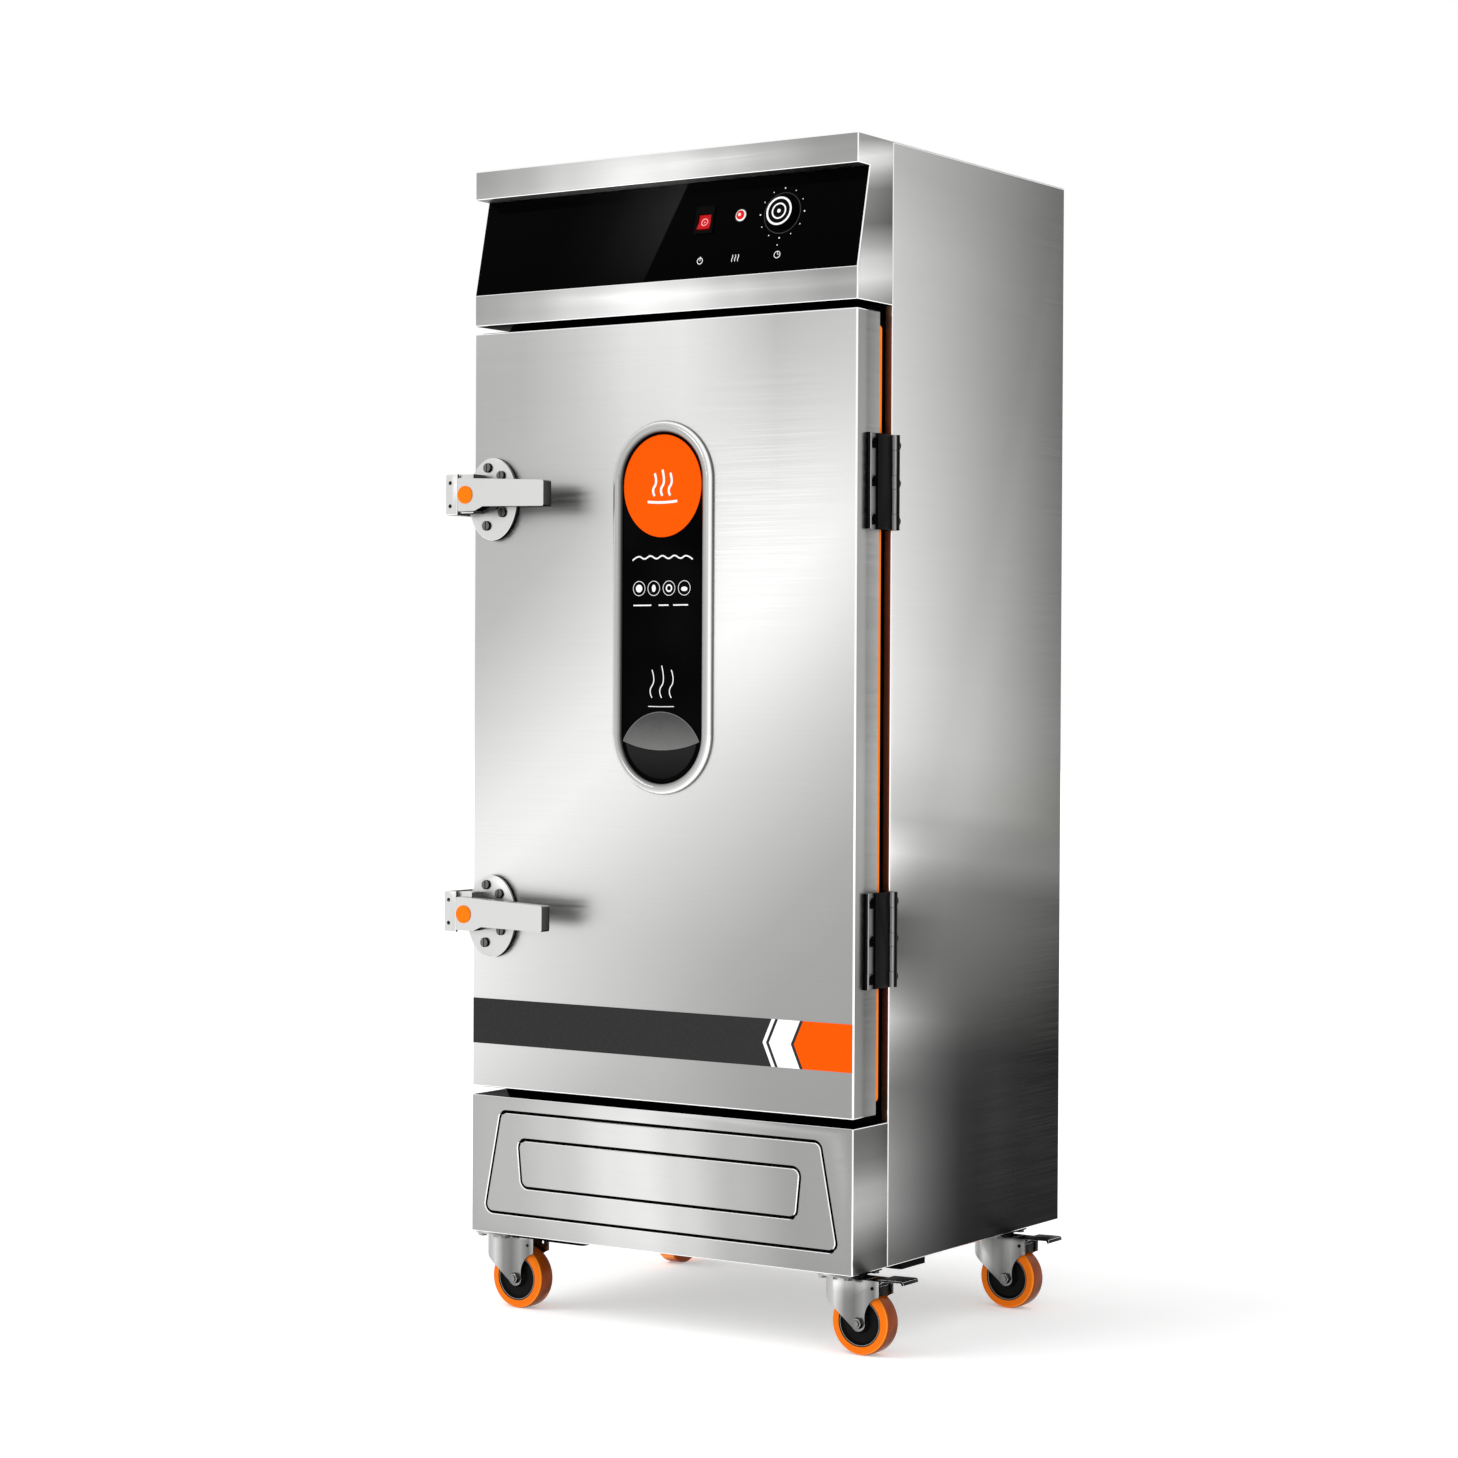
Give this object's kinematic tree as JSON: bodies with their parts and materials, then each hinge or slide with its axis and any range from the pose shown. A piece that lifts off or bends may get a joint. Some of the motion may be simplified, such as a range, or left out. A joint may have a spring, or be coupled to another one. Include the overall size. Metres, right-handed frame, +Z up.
{
  "type": "rice steamer cabinet",
  "caption": "Tall single-door electric steam cabinet on swivel casters, with a sloped black control panel, lever latches and an inner rack for trays.",
  "frame": {"origin": "on the floor, under the middle of the cabinet's 700 x 630 mm plan", "axes": "+Z up, -Y towards the door, +X to the right seen from the front"},
  "size_m": [0.7955, 0.751, 1.774],
  "materials": {
    "stainless": "brushed stainless sheet, satin",
    "insulation": "mineral wool",
    "black_glass": "polished, printed black from behind",
    "black_plastic": "moulded, fine texture",
    "red_plastic": "translucent red, moulded",
    "orange_silicone": "extruded silicone, satin",
    "chrome": "polished",
    "black_gloss": "gloss acrylic",
    "cast_zinc": "die-cast, satin plated",
    "orange_plastic": "moulded gloss",
    "black_rubber": "moulded rubber",
    "black_metal": "black powder coat",
    "steel_screws": "plain stainless",
    "zinc_steel": "pressed steel, bright zinc plated",
    "orange_tyre": "cast polyurethane, gloss",
    "black_nylon": "moulded nylon",
    "brass": "machined brass",
    "heater_steel": "drawn tube, heat-darkened",
    "white_plastic": "moulded float",
    "red_handle": "dipped vinyl over steel"
  },
  "bodies": {
    "cabinet": {"side_panel_left": "stainless", "side_panel_right": "stainless", "top_panel": "stainless", "back_panel": "stainless", "base_plate": "stainless", "chamber_liner": "stainless", "insulation": "insulation", "door_frame": "stainless", "head_shell": "stainless", "control_glass": "black_glass", "switch_body": "black_plastic", "pilot_lamp": "red_plastic", "timer_body": "black_plastic", "contactor": "black_plastic", "plinth_shell": "stainless", "tray_rack": "stainless", "heating_elements": "heater_steel", "heater_guard": "stainless", "inlet_valve": "brass", "drain_pipe": "stainless", "drain_valve": "brass", "steam_vent": "stainless", "cable_gland": "black_plastic", "latch_keepers": "cast_zinc", "frame_screws": "black_metal", "hinge_lugs_and_pins": "black_metal", "caster_plates": "zinc_steel", "base_pads": "black_rubber"},
    "door": {"door_skin": "stainless", "door_liner": "stainless", "door_foam": "insulation", "door_seal": "orange_silicone", "badge_ring": "chrome", "badge_panel": "black_gloss", "latch_bases": "cast_zinc", "latch_gaskets": "black_rubber", "door_screws": "steel_screws", "hinge_leaves": "black_metal"},
    "upper_latch": {"latch_lever_upper": "cast_zinc", "lever_cap_upper": "orange_plastic"},
    "lower_latch": {"latch_lever_lower": "cast_zinc", "lever_cap_lower": "orange_plastic"},
    "rocker": {"power_rocker": "red_plastic"},
    "timer_dial": {"timer_knob": "black_plastic"},
    "float_lever": {"float_arm": "white_plastic"},
    "drain_handle": {"drain_lever": "red_handle"},
    "fork_front_left": {"caster_fork_front_left": "zinc_steel"},
    "wheel_front_left": {"tyre_front_left": "orange_tyre", "wheel_hub_front_left": "black_nylon"},
    "fork_front_right": {"caster_fork_front_right": "zinc_steel"},
    "wheel_front_right": {"tyre_front_right": "orange_tyre", "wheel_hub_front_right": "black_nylon"},
    "brake_front_right": {"brake_pedal_front_right": "black_metal"},
    "fork_rear_left": {"caster_fork_rear_left": "zinc_steel"},
    "wheel_rear_left": {"tyre_rear_left": "orange_tyre", "wheel_hub_rear_left": "black_nylon"},
    "fork_rear_right": {"caster_fork_rear_right": "zinc_steel"},
    "wheel_rear_right": {"tyre_rear_right": "orange_tyre", "wheel_hub_rear_right": "black_nylon"},
    "brake_rear_right": {"brake_pedal_rear_right": "black_metal"}
  },
  "joints": [
    {"name": "door_hinge", "type": "hinge", "parent": "cabinet", "child": "door", "pos_m": [0.357, -0.218, 0.93825], "axis": [0, 0, 1], "range_deg": [0, 180]},
    {"name": "upper_latch_turn", "type": "hinge", "parent": "door", "child": "upper_latch", "pos_m": [-0.308, -0.345, 1.2655], "axis": [0, 1, 0], "range_deg": [0, 90]},
    {"name": "lower_latch_turn", "type": "hinge", "parent": "door", "child": "lower_latch", "pos_m": [-0.308, -0.345, 0.6175], "axis": [0, 1, 0], "range_deg": [0, 90]},
    {"name": "rocker_tilt", "type": "hinge", "parent": "cabinet", "child": "rocker", "pos_m": [0.0705, -0.2952, 1.66571], "axis": [1, 0, 0], "range_deg": [0, 18]},
    {"name": "timer_turn", "type": "hinge", "parent": "cabinet", "child": "timer_dial", "pos_m": [0.208, -0.30021, 1.67082], "axis": [0, 0.976, -0.2176], "range_deg": [0, 300]},
    {"name": "float_swing", "type": "hinge", "parent": "cabinet", "child": "float_lever", "pos_m": [-0.23, 0.241, 0.336], "axis": [1, 0, 0], "range_deg": [-35, 0]},
    {"name": "drain_turn", "type": "hinge", "parent": "cabinet", "child": "drain_handle", "pos_m": [0.21, 0.346, 0.193], "axis": [0, 0, -1], "range_deg": [0, 90]},
    {"name": "swivel_front_left", "type": "hinge", "parent": "cabinet", "child": "fork_front_left", "pos_m": [-0.314, -0.267, 0.11], "axis": [0, 0, 1], "continuous": true},
    {"name": "roll_front_left", "type": "hinge", "parent": "fork_front_left", "child": "wheel_front_left", "pos_m": [-0.285, -0.267, 0.048], "axis": [0, 1, 0], "continuous": true},
    {"name": "swivel_front_right", "type": "hinge", "parent": "cabinet", "child": "fork_front_right", "pos_m": [0.314, -0.267, 0.11], "axis": [0, 0, 1], "continuous": true},
    {"name": "roll_front_right", "type": "hinge", "parent": "fork_front_right", "child": "wheel_front_right", "pos_m": [0.343, -0.267, 0.048], "axis": [0, 1, 0], "continuous": true},
    {"name": "brake_front_right", "type": "hinge", "parent": "fork_front_right", "child": "brake_front_right", "pos_m": [0.367, -0.267, 0.101], "axis": [0, 1, 0], "range_deg": [0, 12]},
    {"name": "swivel_rear_left", "type": "hinge", "parent": "cabinet", "child": "fork_rear_left", "pos_m": [-0.314, 0.175, 0.11], "axis": [0, 0, 1], "continuous": true},
    {"name": "roll_rear_left", "type": "hinge", "parent": "fork_rear_left", "child": "wheel_rear_left", "pos_m": [-0.314, 0.204, 0.048], "axis": [1, 0, 0], "continuous": true},
    {"name": "swivel_rear_right", "type": "hinge", "parent": "cabinet", "child": "fork_rear_right", "pos_m": [0.314, 0.175, 0.11], "axis": [0, 0, 1], "continuous": true},
    {"name": "roll_rear_right", "type": "hinge", "parent": "fork_rear_right", "child": "wheel_rear_right", "pos_m": [0.343, 0.175, 0.048], "axis": [0, 1, 0], "continuous": true},
    {"name": "brake_rear_right", "type": "hinge", "parent": "fork_rear_right", "child": "brake_rear_right", "pos_m": [0.367, 0.175, 0.101], "axis": [0, 1, 0], "range_deg": [0, 12]}
  ]
}
